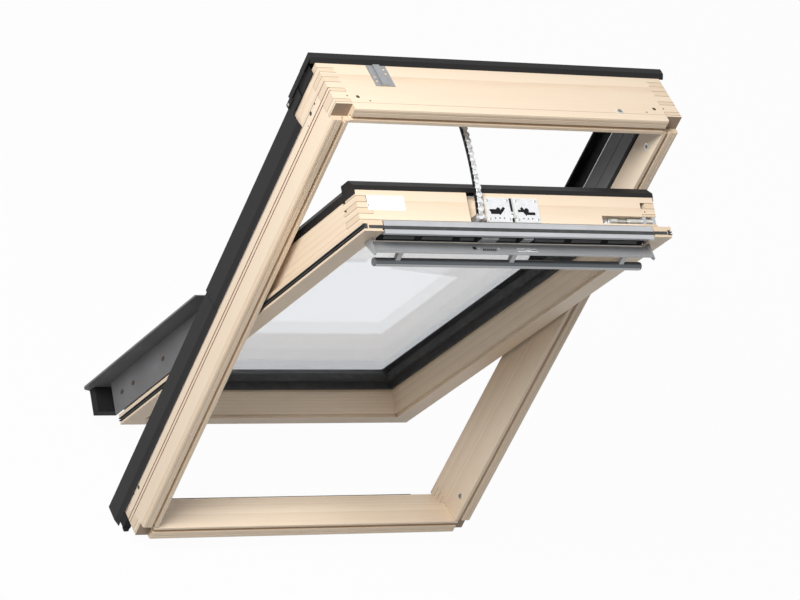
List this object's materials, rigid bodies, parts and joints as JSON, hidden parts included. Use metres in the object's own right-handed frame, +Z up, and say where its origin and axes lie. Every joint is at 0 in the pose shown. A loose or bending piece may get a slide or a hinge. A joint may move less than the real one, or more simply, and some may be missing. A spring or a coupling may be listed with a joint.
{
  "type": "centre pivot roof window",
  "caption": "Timber centre pivot roof window with grey metal covers, double glazing, a ventilation flap with a handle bar and a chain opener, sash open",
  "frame": {"origin": "middle of the underside of the timber frame, 59 mm inside its outer face", "axes": "X across the window, +Y out of the roof, +Z up the slope with the frame plane upright"},
  "size_m": [0.8, 0.5994, 1.2278],
  "materials": {
    "frame_pine": "clear lacquered pine, frame",
    "sash_pine": "clear lacquered pine, sash",
    "dark_metal": "satin dark grey lacquered sheet",
    "grey_metal": "satin grey lacquered sheet",
    "glass": "clear float glass",
    "rubber": "dark grey profiled rubber",
    "black_plastic": "black moulded plastic",
    "aluminium": "satin anodised",
    "zinc_steel": "zinc plated"
  },
  "bodies": {
    "frame": {"chain_operator": "aluminium", "frame_bottom_rail": "frame_pine", "frame_drip_cover": "dark_metal", "frame_left_channel_wall": "grey_metal", "frame_left_lower_cover": "dark_metal", "frame_left_seal": "rubber", "frame_left_stile": "frame_pine", "frame_left_upper_cover": "dark_metal", "frame_right_channel_wall": "grey_metal", "frame_right_lower_cover": "dark_metal", "frame_right_seal": "rubber", "frame_right_stile": "frame_pine", "frame_right_upper_cover": "dark_metal", "frame_top_cover": "dark_metal", "frame_top_rail": "frame_pine", "left_hinge_frame_plate": "zinc_steel", "opening_chain": "zinc_steel", "right_hinge_frame_plate": "zinc_steel", "stile_bushes": "zinc_steel", "top_fixing_bracket": "zinc_steel", "top_rail_bush": "zinc_steel"},
    "sash": {"bolt_guide": "zinc_steel", "chain_bracket": "zinc_steel", "glass_spacer": "aluminium", "glazing_gasket": "rubber", "inner_pane": "glass", "latch_case": "zinc_steel", "latch_hook": "zinc_steel", "left_hinge_sash_plate": "zinc_steel", "left_lock_plate": "zinc_steel", "outer_pane": "glass", "right_hinge_sash_plate": "zinc_steel", "right_lock_plate": "zinc_steel", "sash_bottom_cover": "dark_metal", "sash_bottom_rail": "sash_pine", "sash_left_end_plug": "black_plastic", "sash_left_lower_cover": "grey_metal", "sash_left_stile": "sash_pine", "sash_left_upper_cover": "dark_metal", "sash_right_end_plug": "black_plastic", "sash_right_lower_cover": "grey_metal", "sash_right_stile": "sash_pine", "sash_right_upper_cover": "dark_metal", "sash_seal": "rubber", "sash_top_cover": "dark_metal", "sash_top_rail": "sash_pine", "vent_rail": "aluminium", "vent_rail_ends": "aluminium"},
    "vent_flap": {"handle_bar": "aluminium", "handle_brackets": "aluminium", "vent_flap": "aluminium"},
    "security_bolt": {"security_bolt": "zinc_steel"}
  },
  "joints": [
    {"name": "sash_pivot", "type": "hinge", "parent": "frame", "child": "sash", "pos_m": [0, 0.07, 0.5745], "axis": [1, 0, 0], "range_deg": [-25, 0], "deforming": ["opening_chain"]},
    {"name": "vent_flap_hinge", "type": "hinge", "parent": "sash", "child": "vent_flap", "pos_m": [0, -0.22815, 0.98672], "axis": [1, 0, 0], "range_deg": [-45, 0]},
    {"name": "bolt_slide", "type": "slide", "parent": "sash", "child": "security_bolt", "axis": [1, 0, 0], "range_m": [0, 0.028]}
  ]
}
